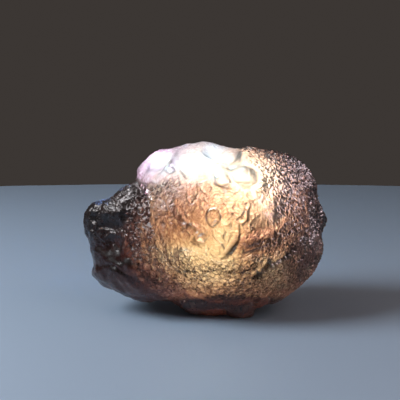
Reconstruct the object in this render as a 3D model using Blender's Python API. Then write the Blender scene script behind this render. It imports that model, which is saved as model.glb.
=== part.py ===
"""A tektite: one lump of brown natural glass, bent while soft and later etched by the soil.

The stone starts as an ico sphere. Its equator is pulled out to the outline that the stone has from
the front, and its two halves are inflated to the depth of the front and of the back. Scoops, ledges,
grooves and lumps are then pressed into the surface, and a short foot is cut flat to stand on.

Sketch frame: x runs right, v runs up and w runs towards the viewer, in millimetres, from the middle
of the outline. The sketch leans back by LEAN before the stone stands on its foot.
"""
import math
from dataclasses import dataclass

import bpy
import numpy as np
from mathutils import Matrix, Vector, noise

MM = 0.001
NAME = "tektite"

# Driving dimensions, in millimetres and degrees
WIDTH = 52.5
FRONT_DEPTH = 16.5
BACK_DEPTH = 14.5
EDGE_FRONT_DEPTH = 11.0
EDGE_BACK_DEPTH = 10.0
DOME_CENTRE = (4.3, 2.6)
DOME_RADII = (19.0, 17.2)
REAR_LOBE_SET_BACK = 4.0
WING_SET_BACK = 1.0
FULLNESS = 0.72
OUTLINE_HARMONICS = 5
EDGE_GRIP = 5.0
LEAN = 12.0
FOOT_LEVEL = -16.6
TRIANGLES = 9700
BALL_SUBDIVISIONS = 7
SEED = 11

# The outline from the front, anticlockwise from the right, as drawn for a stone 52.5 mm wide
OUTLINE = [
    (24.2, 0.0), (25.5, 2.8), (24.5, 5.3), (23.2, 7.6), (22.6, 11.0), (20.8, 14.2),
    (18.5, 16.2), (14.7, 17.6), (10.8, 18.2), (8.1, 18.6), (4.9, 18.2), (0.4, 19.5),
    (-3.8, 19.5), (-6.0, 18.8), (-8.5, 18.3), (-11.3, 17.8), (-13.6, 16.0), (-15.2, 13.8),
    (-15.9, 11.2), (-19.2, 9.4), (-21.5, 7.7), (-25.6, 6.4), (-26.6, 4.5), (-27.0, 2.6),
    (-26.7, 1.1), (-26.0, -1.1), (-25.1, -4.5), (-24.8, -6.4), (-25.1, -8.7), (-23.0, -10.7),
    (-19.6, -12.4), (-15.6, -13.9), (-11.1, -14.3), (-7.6, -14.7), (-4.3, -16.8), (0.4, -17.3),
    (3.4, -17.0), (4.3, -17.7), (7.0, -18.0), (9.0, -17.5), (9.8, -15.8), (11.9, -15.0),
    (15.1, -13.9), (17.9, -11.9), (20.9, -9.2), (23.0, -6.4), (24.3, -3.0),
]


@dataclass(frozen=True)
class Scoop:
    """A shallow elliptical dish, with a low rim; a negative depth makes it a lump."""

    centre: tuple
    radii: tuple
    depth: float
    turn: float = 0.0
    rim: float = 0.0
    steep: float = 2.0


@dataclass(frozen=True)
class Groove:
    """A channel along a drawn line, fading at both ends; a negative depth makes it a ridge."""

    line: tuple
    width: float
    depth: float


# Relief on the front, in the sketch's x and v
FRONT_SCOOPS = {
    "ring_crater": Scoop((0.4, 3.4), (1.4, 1.8), 0.4, rim=0.2, steep=3.0),
    "thumbprint": Scoop((2.2, -1.2), (2.8, 3.8), 0.6, turn=-20, rim=0.2, steep=3.0),
    "crown_notch": Scoop((2.4, 16.8), (4.1, 3.3), 1.5, steep=4.0),
    "crown_dish": Scoop((6.4, 11.6), (3.0, 1.9), 0.8, turn=-8, rim=0.2, steep=3.0),
    "crown_cup": Scoop((2.2, 10.6), (1.9, 1.4), 0.6, rim=0.15, steep=3.0),
    "crown_facet": Scoop((-10.6, 15.4), (3.2, 2.4), 0.7, turn=45, steep=4.0),
    "crown_knob": Scoop((-8.2, 13.6), (1.3, 1.2), -0.5),
    "left_knob": Scoop((-4.7, 1.6), (1.2, 0.9), -0.3),
    "small_knob": Scoop((-1.7, -0.8), (1.2, 0.9), -0.3),
    "dark_pit": Scoop((9.1, -8.4), (1.4, 1.2), 0.7, steep=3.0),
    "lower_hollow": Scoop((-5.6, -5.6), (4.4, 3.2), 0.6, turn=30),
    "cheek_hollow": Scoop((12.5, 6.0), (4.2, 3.0), 0.6, turn=60),
    "foot_brow": Scoop((-1.5, -14.0), (7.0, 1.4), 0.7),
    "heel_hollow": Scoop((13.0, -12.6), (4.0, 2.0), 0.6, turn=35),
    "wing_hollow": Scoop((-20.5, -2.0), (3.4, 4.2), 0.7, turn=15),
    "wing_shoulder": Scoop((-19.5, 5.0), (4.0, 2.6), -0.9, turn=25),
    "wing_cheek": Scoop((-17.5, -7.6), (4.4, 2.8), -0.7, turn=-20),
}
FRONT_GROOVES = {
    "wing_valley": Groove(((-16.2, 12.0), (-14.9, 9.6), (-13.7, 7.6), (-13.1, 5.6), (-13.0, 3.1),
                           (-12.1, 0.6), (-11.8, -3.0)), 1.2, 1.2),
    "dome_hem": Groove(((-11.6, -1.1), (-10.6, -5.0), (-6.7, -10.0), (-2.7, -12.3), (3.9, -13.3),
                        (10.6, -13.6)), 1.1, 0.8),
    "cheek_groove": Groove(((4.8, -1.1), (6.8, -1.5), (8.8, -1.3), (10.8, -0.9), (12.8, 0.3),
                            (14.8, 1.7), (15.8, 4.0)), 0.9, 0.55),
    "cheek_ridge": Groove(((5.6, -3.6), (8.0, -4.0), (10.3, -3.8), (12.7, -2.8), (14.8, -1.5)), 1.1, -0.4),
    "jaw_groove": Groove(((9.4, -8.0), (10.9, -6.6), (12.9, -5.4), (15.4, -3.9), (17.8, -1.1)), 0.9, 0.65),
    "left_groove": Groove(((-7.4, 6.8), (-6.6, 5.2), (-5.6, 3.2), (-4.1, 1.6), (-2.5, 0.7),
                           (-0.6, 0.7)), 0.8, 0.4),
    "short_groove": Groove(((-3.5, -0.8), (-2.1, -1.7), (-0.6, -1.4)), 0.7, 0.35),
    "crown_ledge": Groove(((-2.3, 17.5), (-0.9, 16.3), (0.5, 15.7), (1.9, 14.1), (3.4, 13.0), (4.6, 12.8),
                           (5.9, 13.5), (7.1, 13.8)), 0.7, -0.6),
    "crown_wall": Groove(((6.5, 17.6), (6.3, 15.2), (6.6, 13.6)), 0.7, -0.6),
    "crown_ridge": Groove(((-11.4, 10.6), (-9.4, 12.6), (-8.2, 13.8), (-7.4, 15.2), (-6.9, 17.0)), 0.9, -0.5),
    "wing_fold": Groove(((-23.6, 1.2), (-20.4, 2.0), (-16.8, 0.6)), 0.9, 0.6),
    "rear_seam": Groove(((20.6, 9.6), (21.6, 4.4), (20.8, -0.6)), 1.2, 0.7),
}
# Relief on the back, which has broader forms
BACK_SCOOPS = {
    "big_dish": Scoop((6.5, 4.0), (6.5, 5.2), 1.3, turn=30, rim=0.2),
    "upper_dish": Scoop((-4.5, 11.0), (4.6, 3.6), 1.0, turn=-20, rim=0.15),
    "side_dish": Scoop((15.5, 9.0), (3.8, 3.0), 0.8),
    "low_dish": Scoop((-5.5, -6.0), (4.4, 3.4), 0.9, turn=15, rim=0.15),
    "wing_dish": Scoop((-19.0, 1.5), (4.2, 3.6), 0.9, turn=40),
    "left_lump": Scoop((-11.0, 3.0), (4.0, 5.5), -0.9),
    "low_lump": Scoop((12.5, -8.0), (5.0, 3.6), -1.0),
    "heel_lump": Scoop((2.0, -11.0), (4.0, 2.6), -0.7),
}
BACK_GROOVES = {
    "wing_valley": Groove(((-16.0, 11.6), (-14.4, 6.0), (-14.8, 0.0), (-14.0, -7.0)), 2.2, 0.8),
    "long_groove": Groove(((-8.0, 15.0), (-1.0, 6.5), (0.5, -1.0), (6.0, -6.5), (14.0, -4.0)), 1.0, 0.7),
    "cross_groove": Groove(((13.0, 14.0), (12.0, 8.0), (16.5, 2.5), (21.0, 0.5)), 1.0, 0.6),
}

# Etched pits scattered over the whole skin, drawn out along the rings around the main lobe
PIT_COUNT = 260
PIT_HALF_WIDTHS = (0.9, 1.8)
PIT_STRETCHES = (1.0, 2.2)
PIT_DEPTH_RATIO = 0.2
PIT_RIM_RATIO = 0.3
# The front's middle keeps only the relief drawn above
CALM_CENTRE = (1.5, 2.5)
CALM_RADII = (10.5, 9.0)
# Broad unevenness: two scales of noise, each a wavelength and a height
SWELLS = ((17.0, 0.9), (6.5, 0.4))

GLASS_COLOUR = (0.33, 0.17, 0.075, 1.0)
GLASS_ROUGHNESS = 0.32


def remove_objects():
    """Empty the scene of its objects."""
    for obj in list(bpy.data.objects):
        bpy.data.objects.remove(obj, do_unlink=True)


def make_collection(name):
    """Add a collection to the scene."""
    collection = bpy.data.collections.new(name)
    bpy.context.scene.collection.children.link(collection)
    return collection


def move_to(obj, collection):
    """Put an object in one collection only."""
    for old in list(obj.users_collection):
        old.objects.unlink(obj)
    collection.objects.link(obj)


def smooth_line(points, closed, steps=12):
    """Run a Catmull-Rom curve through drawn points, with the same number of steps in each span."""
    points = np.array(points, dtype=float)
    if closed:
        padded = np.vstack([points[-1:], points, points[:2]])
    else:
        padded = np.vstack([2 * points[:1] - points[1:2], points, 2 * points[-1:] - points[-2:-1]])
    t = np.linspace(0.0, 1.0, steps, endpoint=False)[:, None]
    spans = []
    for i in range(1, len(padded) - 2):
        before, start, end, after = padded[i - 1:i + 3]
        spans.append(0.5 * (2 * start + (end - before) * t
                            + (2 * before - 5 * start + 4 * end - after) * t ** 2
                            + (3 * start - 3 * end + after - before) * t ** 3))
    if not closed:
        spans.append(points[-1:])
    return np.vstack(spans)


def outline_radii(angle, across):
    """Distance from the sketch's middle to the outline at each angle, softened away from the edge."""
    curve = smooth_line(OUTLINE, closed=True)
    curve *= WIDTH / np.ptp(curve[:, 0])
    curve_angle = np.arctan2(curve[:, 1], curve[:, 0])
    order = np.argsort(curve_angle)
    radius = np.hypot(curve[:, 0], curve[:, 1])[order]
    sharp = np.interp(angle, curve_angle[order], radius, period=2 * math.pi)
    compass = np.linspace(-math.pi, math.pi, 360, endpoint=False)
    spectrum = np.fft.rfft(np.interp(compass, curve_angle[order], radius, period=2 * math.pi))
    spectrum[OUTLINE_HARMONICS:] = 0.0
    soft = np.interp(angle, compass, np.fft.irfft(spectrum, len(compass)), period=2 * math.pi)
    return soft + (sharp - soft) * across ** EDGE_GRIP


def hill(x, v, centre, radii):
    """A smooth hill, 1 at its centre, which fades over its radii."""
    return np.exp(-((x - centre[0]) / radii[0]) ** 2 - ((v - centre[1]) / radii[1]) ** 2)


def dome(x, v):
    """The rounded main lobe's rise above the wing and the foot: 1 at its top, 0 outside it."""
    squared = ((x - DOME_CENTRE[0]) / DOME_RADII[0]) ** 2 + ((v - DOME_CENTRE[1]) / DOME_RADII[1]) ** 2
    return np.clip(1.0 - squared, 0.0, 1.0) ** 0.6


def inflate(ball):
    """Turn the unit ball's points into the stone's main form."""
    across = np.hypot(ball[:, 0], ball[:, 2])
    angle = np.arctan2(ball[:, 2], ball[:, 0])
    reach = outline_radii(angle, across) * across
    x = reach * np.cos(angle)
    v = reach * np.sin(angle)
    towards = -ball[:, 1]
    rise = dome(x, v)
    front = EDGE_FRONT_DEPTH + (FRONT_DEPTH - EDGE_FRONT_DEPTH) * rise
    back = EDGE_BACK_DEPTH + (BACK_DEPTH - EDGE_BACK_DEPTH) * rise
    depth = np.where(towards > 0.0, front, back)
    rear_lobe = -REAR_LOBE_SET_BACK * hill(x, v, (25.0, 2.5), (5.0, 5.5))
    wing = -WING_SET_BACK * hill(x, v, (-24.0, 0.0), (8.0, 14.0))
    w = depth * np.sign(towards) * np.abs(towards) ** FULLNESS + rear_lobe + wing
    return np.column_stack([x, v, w])


def scoop_height(x, v, scoop):
    """How much a scoop moves the surface at each point, outwards."""
    turn = math.radians(scoop.turn)
    dx = x - scoop.centre[0]
    dv = v - scoop.centre[1]
    along = (dx * math.cos(turn) + dv * math.sin(turn)) / scoop.radii[0]
    aside = (dv * math.cos(turn) - dx * math.sin(turn)) / scoop.radii[1]
    distance = np.hypot(along, aside)
    dish = np.clip(1.0 - distance ** scoop.steep, 0.0, 1.0) ** 1.5
    rim = np.exp(-((distance - 1.08) / 0.16) ** 2)
    return scoop.rim * rim - scoop.depth * dish


def groove_height(x, v, groove):
    """How much a groove moves the surface at each point, outwards."""
    line = smooth_line(groove.line, closed=False, steps=8)
    place = np.linspace(0.0, 1.0, len(line))
    nearest = np.full(x.shape, np.inf)
    at = np.zeros(x.shape)
    for (line_x, line_v), part_way in zip(line, place):
        distance = np.hypot(x - line_x, v - line_v)
        closer = distance < nearest
        nearest[closer] = distance[closer]
        at[closer] = part_way
    fade = np.clip(np.sin(math.pi * at), 0.0, 1.0) ** 0.5
    return -groove.depth * fade * np.exp(-(nearest / groove.width) ** 2)


def relief(form, towards):
    """Drawn relief of the front and the back, fading out towards the outline."""
    x, v = form[:, 0], form[:, 1]
    front = np.zeros(len(form))
    back = np.zeros(len(form))
    for scoop in FRONT_SCOOPS.values():
        front += scoop_height(x, v, scoop)
    for groove in FRONT_GROOVES.values():
        front += groove_height(x, v, groove)
    for scoop in BACK_SCOOPS.values():
        back += scoop_height(x, v, scoop)
    for groove in BACK_GROOVES.values():
        back += groove_height(x, v, groove)
    front_share = np.clip((towards - 0.1) / 0.3, 0.0, 1.0)
    back_share = np.clip((-towards - 0.1) / 0.3, 0.0, 1.0)
    return front * front_share + back * back_share


def pits(form, normals, towards):
    """Etched pits at seeded random places, shallower along the outline."""
    rng = np.random.default_rng(SEED)
    height = np.zeros(len(form))
    ring_middle = np.array((*DOME_CENTRE, 0.0))
    made = 0
    while made < PIT_COUNT:
        pick = rng.integers(len(form))
        half_width = rng.uniform(*PIT_HALF_WIDTHS)
        half_length = half_width * rng.uniform(*PIT_STRETCHES)
        centre = form[pick]
        is_calm = math.hypot((centre[0] - CALM_CENTRE[0]) / CALM_RADII[0],
                             (centre[1] - CALM_CENTRE[1]) / CALM_RADII[1]) < 1.0
        if centre[2] > 0.0 and is_calm:
            continue
        along = np.cross(normals[pick], centre - ring_middle)
        along /= max(np.linalg.norm(along), 0.001)
        aside = np.cross(normals[pick], along)
        step = form - centre
        distance = np.sqrt((step @ along / half_length) ** 2 + (step @ aside / half_width) ** 2
                           + (step @ normals[pick] / half_length) ** 2)
        dish = np.clip(1.0 - distance ** 2, 0.0, 1.0)
        rim = np.exp(-((distance - 1.15) / 0.25) ** 2)
        height += half_width * PIT_DEPTH_RATIO * (PIT_RIM_RATIO * rim - dish)
        made += 1
    return height * (0.3 + 0.7 * np.abs(towards))


def swells(form, towards):
    """Broad seeded unevenness of the skin, which leaves the outline as drawn."""
    height = np.zeros(len(form))
    for wavelength, rise in SWELLS:
        shift = Vector((SEED, wavelength, 0.0))
        height += rise * np.array([noise.noise(Vector(point) / wavelength + shift) for point in form])
    return height * np.clip(np.abs(towards) * 1.6, 0.0, 1.0)


def press_relief(mesh, ball):
    """Move each point of the inflated mesh along its normal by the relief there."""
    form = np.empty(len(mesh.vertices) * 3)
    mesh.vertices.foreach_get("co", form)
    form = form.reshape(-1, 3)
    normals = np.empty(len(mesh.vertices) * 3)
    mesh.vertices.foreach_get("normal", normals)
    normals = normals.reshape(-1, 3)
    towards = -ball[:, 1]
    sketch = form[:, [0, 2, 1]] * (1.0, 1.0, -1.0)
    sketch_normals = normals[:, [0, 2, 1]] * (1.0, 1.0, -1.0)
    height = swells(sketch, towards) + pits(sketch, sketch_normals, towards) + relief(sketch, towards)
    form += normals * height[:, None]
    mesh.vertices.foreach_set("co", form.ravel())
    mesh.update()


def make_stone(collection):
    """Model the whole stone, leaning back as it stands."""
    bpy.ops.mesh.primitive_ico_sphere_add(subdivisions=BALL_SUBDIVISIONS, radius=1.0)
    stone = bpy.context.active_object
    stone.name = NAME
    mesh = stone.data
    mesh.name = NAME
    ball = np.empty(len(mesh.vertices) * 3)
    mesh.vertices.foreach_get("co", ball)
    ball = ball.reshape(-1, 3)
    ball /= np.linalg.norm(ball, axis=1)[:, None]
    sketch = inflate(ball)
    upright = sketch[:, [0, 2, 1]] * (1.0, -1.0, 1.0)
    mesh.vertices.foreach_set("co", upright.ravel())
    mesh.update()
    press_relief(mesh, ball)
    lean = Matrix.Rotation(math.radians(-LEAN), 4, "X")
    stand = Matrix.Translation((0.0, 0.0, -FOOT_LEVEL * MM))
    mesh.transform(stand @ lean @ Matrix.Scale(MM, 4))
    move_to(stone, collection)
    return stone


def thin_mesh(stone):
    """Bring the mesh down to its budget, keeping more faces where the relief is."""
    decimate = stone.modifiers.new("fewer_faces", "DECIMATE")
    decimate.ratio = TRIANGLES / len(stone.data.polygons)


def cut_foot(stone, cutters):
    """Cut the foot flat at the level that the stone stands on."""
    size = 2.0 * WIDTH * MM
    bpy.ops.mesh.primitive_cube_add(size=size, location=(0.0, 0.0, -size / 2))
    cutter = bpy.context.active_object
    cutter.name = "foot_cutter"
    cutter.hide_render = True
    cutter.display_type = "WIRE"
    move_to(cutter, cutters)
    cut = stone.modifiers.new("flat_foot", "BOOLEAN")
    cut.operation = "DIFFERENCE"
    cut.solver = "EXACT"
    cut.object = cutter


def centre_stone(stone):
    """Stand the stone with the middle of its box over the origin."""
    bpy.context.view_layer.update()
    evaluated = stone.evaluated_get(bpy.context.evaluated_depsgraph_get())
    corners = np.array([corner[:] for corner in evaluated.bound_box])
    middle = (corners.min(axis=0) + corners.max(axis=0)) / 2
    stone.location = (-middle[0], -middle[1], 0.0)


def make_glass():
    """Brown tektite glass."""
    glass = bpy.data.materials.new("tektite_glass")
    glass.use_nodes = True
    shader = glass.node_tree.nodes["Principled BSDF"]
    shader.inputs["Base Color"].default_value = GLASS_COLOUR
    shader.inputs["Roughness"].default_value = GLASS_ROUGHNESS
    shader.inputs["Metallic"].default_value = 0.0
    return glass


def main():
    remove_objects()
    stones = make_collection("Tektite")
    cutters = make_collection("Cutters")
    stone = make_stone(stones)
    thin_mesh(stone)
    cut_foot(stone, cutters)
    stone.data.shade_smooth()
    stone.data.materials.append(make_glass())
    centre_stone(stone)


main()
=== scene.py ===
"""The looks of a tektite: a lump of brown natural glass, etched all over, with light coming through it.

The stone's skin is one fine mesh drawn over the solid from the frame. Its drawn features are placed in
the stone's own sketch: x runs right, v runs up and w runs towards the viewer, in millimetres, from a point
in the middle of the stone, leaning back by LEAN.
"""
import logging
import math
from dataclasses import dataclass, field
from enum import Enum

import bpy
import numpy as np
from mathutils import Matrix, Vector, kdtree, noise


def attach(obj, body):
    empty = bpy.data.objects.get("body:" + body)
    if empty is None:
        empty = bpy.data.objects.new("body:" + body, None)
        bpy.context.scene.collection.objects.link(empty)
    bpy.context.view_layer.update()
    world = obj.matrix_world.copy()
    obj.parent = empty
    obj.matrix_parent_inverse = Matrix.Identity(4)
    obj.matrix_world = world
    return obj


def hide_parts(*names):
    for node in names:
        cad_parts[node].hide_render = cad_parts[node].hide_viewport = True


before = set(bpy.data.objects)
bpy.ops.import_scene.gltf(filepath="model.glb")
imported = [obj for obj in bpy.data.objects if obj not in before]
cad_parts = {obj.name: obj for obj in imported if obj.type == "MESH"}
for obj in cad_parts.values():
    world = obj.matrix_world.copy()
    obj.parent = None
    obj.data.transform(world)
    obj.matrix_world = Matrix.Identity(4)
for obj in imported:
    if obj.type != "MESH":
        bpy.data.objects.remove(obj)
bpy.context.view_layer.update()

LOG = logging.getLogger("tektite")
MM = 0.001

NODE = "tektite"
BODY = "root"

# The sketch's place in the frame, in millimetres and degrees
SKETCH_MIDDLE = (1.0, 0.0, 16.6)
LEAN = 12.0

# Points of the solid that are nearer than this are one point, in metres
MERGE_DISTANCE = 0.000005

# Keeps a length that is divided by above zero, in millimetres
TINY = 0.01

Colour = tuple[float, float, float]
Pair = tuple[float, float]
Place = tuple[float, float, float]


class Zone(Enum):
    """A part of the skin with a texture of its own."""

    CALM = "calm"
    CROWN = "crown"
    RINGS = "rings"
    WING = "wing"
    FOOT = "foot"


class Ray(Enum):
    """A kind of ray that a lamp can be hidden from."""

    CAMERA = "camera"
    DIFFUSE = "diffuse"
    GLOSSY = "glossy"


@dataclass(frozen=True)
class Sketch:
    """The stone's own leaning frame, in millimetres.

    Args:
        middle: Where its origin stands in the frame.
        lean: How far it leans back, in degrees.
    """

    middle: Place = SKETCH_MIDDLE
    lean: float = LEAN

    def axes(self) -> np.ndarray:
        """Return the sketch's x, v and w directions as rows."""
        lean = math.radians(self.lean)
        return np.array([
            (1.0, 0.0, 0.0),
            (0.0, math.sin(lean), math.cos(lean)),
            (0.0, -math.cos(lean), math.sin(lean)),
        ])

    def points(self, metres: np.ndarray) -> np.ndarray:
        """Turn points of the frame, in metres, into the sketch's x, v and w in millimetres."""
        return (metres / MM - np.array(self.middle)) @ self.axes().T

    def directions(self, vectors: np.ndarray) -> np.ndarray:
        """Turn directions of the frame into the sketch's."""
        return vectors @ self.axes().T


def ramp(values: np.ndarray, low: float, high: float) -> np.ndarray:
    """Return a smooth rise from 0 at low to 1 at high.

    Args:
        values: Where to read the rise.
        low: The value at which it starts.
        high: The value at which it ends; it may be below low.

    Returns:
        The rise at each value.
    """
    share = np.clip((values - low) / (high - low), 0.0, 1.0)
    return share * share * (3.0 - 2.0 * share)


def bell(values: np.ndarray, middle: float, width: float) -> np.ndarray:
    """Return a bell curve of height 1.

    Args:
        values: Where to read it.
        middle: The value at its top.
        width: How far from there it has fallen to about a third.

    Returns:
        The curve at each value.
    """
    return np.exp(-((values - middle) / width) ** 2)


def smooth_line(points: tuple[Pair, ...], steps: int = 10) -> np.ndarray:
    """Run a Catmull-Rom curve through drawn points.

    Args:
        points: The points, as pairs of x and v.
        steps: How many steps each span takes.

    Returns:
        The points of the curve.
    """
    drawn = np.array(points, dtype=float)
    padded = np.vstack([2 * drawn[:1] - drawn[1:2], drawn, 2 * drawn[-1:] - drawn[-2:-1]])
    t = np.linspace(0.0, 1.0, steps, endpoint=False)[:, None]
    spans = []
    for i in range(1, len(padded) - 2):
        before, start, end, after = padded[i - 1:i + 3]
        spans.append(0.5 * (2 * start + (end - before) * t
                            + (2 * before - 5 * start + 4 * end - after) * t ** 2
                            + (3 * start - 3 * end + after - before) * t ** 3))
    return np.vstack([*spans, drawn[-1:]])


@dataclass(frozen=True)
class Ellipse:
    """A drawn ellipse on the sketch.

    Args:
        centre: Its middle, as x and v.
        radii: Its half-width and half-height.
        fade: How far out what it covers ends, and how far out that is still full.
    """

    centre: Pair
    radii: Pair
    fade: Pair = (1.1, 0.85)

    def reach(self, x: np.ndarray, v: np.ndarray) -> np.ndarray:
        """Return how far out each point lies: 0 in its middle and 1 on its line."""
        return np.hypot((x - self.centre[0]) / self.radii[0], (v - self.centre[1]) / self.radii[1])

    def cover(self, x: np.ndarray, v: np.ndarray) -> np.ndarray:
        """Return how much it covers each point, from 0 to 1."""
        return ramp(self.reach(x, v), *self.fade)


@dataclass(frozen=True)
class Dish:
    """A drawn hollow on the front; a negative depth makes it a lump.

    Args:
        centre: Its middle, as x and v.
        radii: Its half-width and half-height.
        depth: How deep it is.
        turn: How far its own axes turn, in degrees.
        rim: How high its rim stands.
        steep: How flat its floor is; its wall is steeper when this is larger.
        shade: How dark the painted shade on its floor is.
        rim_line: How far out its rim stands, and how wide that is, for each unit of radius.
    """

    centre: Pair
    radii: Pair
    depth: float
    turn: float = 0.0
    rim: float = 0.0
    steep: float = 2.0
    shade: float = 0.0
    rim_line: Pair = (1.12, 0.14)

    def press(self, x: np.ndarray, v: np.ndarray) -> tuple[np.ndarray, np.ndarray]:
        """Press it into the front.

        Args:
            x: The x of each point.
            v: The v of each point.

        Returns:
            How far it moves each point outwards, in millimetres, and how much painted shade it puts there.
        """
        turn = math.radians(self.turn)
        dx = x - self.centre[0]
        dv = v - self.centre[1]
        along = (dx * math.cos(turn) + dv * math.sin(turn)) / self.radii[0]
        aside = (dv * math.cos(turn) - dx * math.sin(turn)) / self.radii[1]
        distance = np.hypot(along, aside)
        dish = np.clip(1.0 - distance ** self.steep, 0.0, 1.0)
        return self.rim * bell(distance, *self.rim_line) - self.depth * dish, self.shade * dish


@dataclass(frozen=True)
class Stroke:
    """A drawn groove on the front; a negative depth makes it a ridge.

    Args:
        line: Points that it runs through, as x and v.
        width: Its half-width.
        depth: How deep it is in its middle; it fades at both ends.
        step: How much higher the skin is on the left of the line than on its right.
        closed: Whether its end meets its start.
        shade: How dark the painted shade along its line is.
        groove_reach: How far from the line it acts, for each unit of width.
        step_reach: How much further it acts for each unit of step.
        tip: The share of the line, from either end, over which the fade stays the same.
        fade_power: How blunt its ends are; blunter when this is smaller.
        shade_power: How wide the painted shade's line is; wider than the groove when this is below 1.
    """

    line: tuple[Pair, ...]
    width: float
    depth: float
    step: float = 0.0
    closed: bool = False
    shade: float = 0.5
    groove_reach: float = 3.0
    step_reach: float = 4.0
    tip: float = 0.02
    fade_power: float = 0.6
    shade_power: float = 0.45

    def press(self, x: np.ndarray, v: np.ndarray) -> tuple[np.ndarray, np.ndarray]:
        """Press it into the front.

        Args:
            x: The x of each point.
            v: The v of each point.

        Returns:
            How far it moves each point outwards, in millimetres, and how much painted shade it puts there.
        """
        line = smooth_line((*self.line, self.line[0]) if self.closed else self.line)
        reach = self.width * self.groove_reach + abs(self.step) * self.step_reach
        inside = np.flatnonzero((x > line[:, 0].min() - reach) & (x < line[:, 0].max() + reach)
                                & (v > line[:, 1].min() - reach) & (v < line[:, 1].max() + reach))
        offsets = np.column_stack([x[inside], v[inside]])[:, None, :] - line[None, :, :]
        squared = (offsets ** 2).sum(axis=2)
        nearest = squared.argmin(axis=1)
        rows = np.arange(len(inside))
        distance = np.sqrt(squared[rows, nearest])
        heading = np.gradient(line, axis=0)[nearest]
        offset = offsets[rows, nearest]
        side = np.sign(heading[:, 0] * offset[:, 1] - heading[:, 1] * offset[:, 0])
        groove = bell(distance, 0.0, self.width)
        ledge = (self.step * 0.5 * side * (1.0 - np.exp(-distance / self.width))
                 * bell(distance, 0.0, reach))
        fade = self.fade(nearest / (len(line) - 1))
        height = np.zeros(len(x))
        shade = np.zeros(len(x))
        height[inside] = fade * (ledge - self.depth * groove)
        shade[inside] = fade * self.shade * groove ** self.shade_power
        return height, shade

    def fade(self, share: np.ndarray) -> np.ndarray:
        """Return how strong it is along its length; a closed one is even.

        Args:
            share: The share of its length at which each point lies.

        Returns:
            Its strength there, from 0 to 1.
        """
        if self.closed:
            return np.ones(len(share))
        return np.sin(math.pi * np.clip(share, self.tip, 1.0 - self.tip)) ** self.fade_power


@dataclass(frozen=True)
class Patch:
    """A place where the brown crust is thicker or thinner than around it, painting shade where thicker and
    light where thinner.

    Args:
        centre: Its middle, as x and v.
        radii: Its half-width and half-height.
        amount: What it adds to the crust and its painted shade in its middle.
    """

    centre: Pair
    radii: Pair
    amount: float

    def spread(self, x: np.ndarray, v: np.ndarray) -> np.ndarray:
        """Return what it adds to the crust and its painted shade at each point."""
        away = ((x - self.centre[0]) / self.radii[0]) ** 2 + ((v - self.centre[1]) / self.radii[1]) ** 2
        return self.amount * np.exp(-away)


@dataclass(frozen=True)
class Skin:
    """The points of the fine mesh, in the sketch.

    Args:
        points: The x, v and w of each.
        facing: The normal at each.
        tree: The points, for finding neighbours.
        cell: The area that one point stands for, in square millimetres.
    """

    points: np.ndarray
    facing: np.ndarray
    tree: kdtree.KDTree
    cell: float


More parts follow.
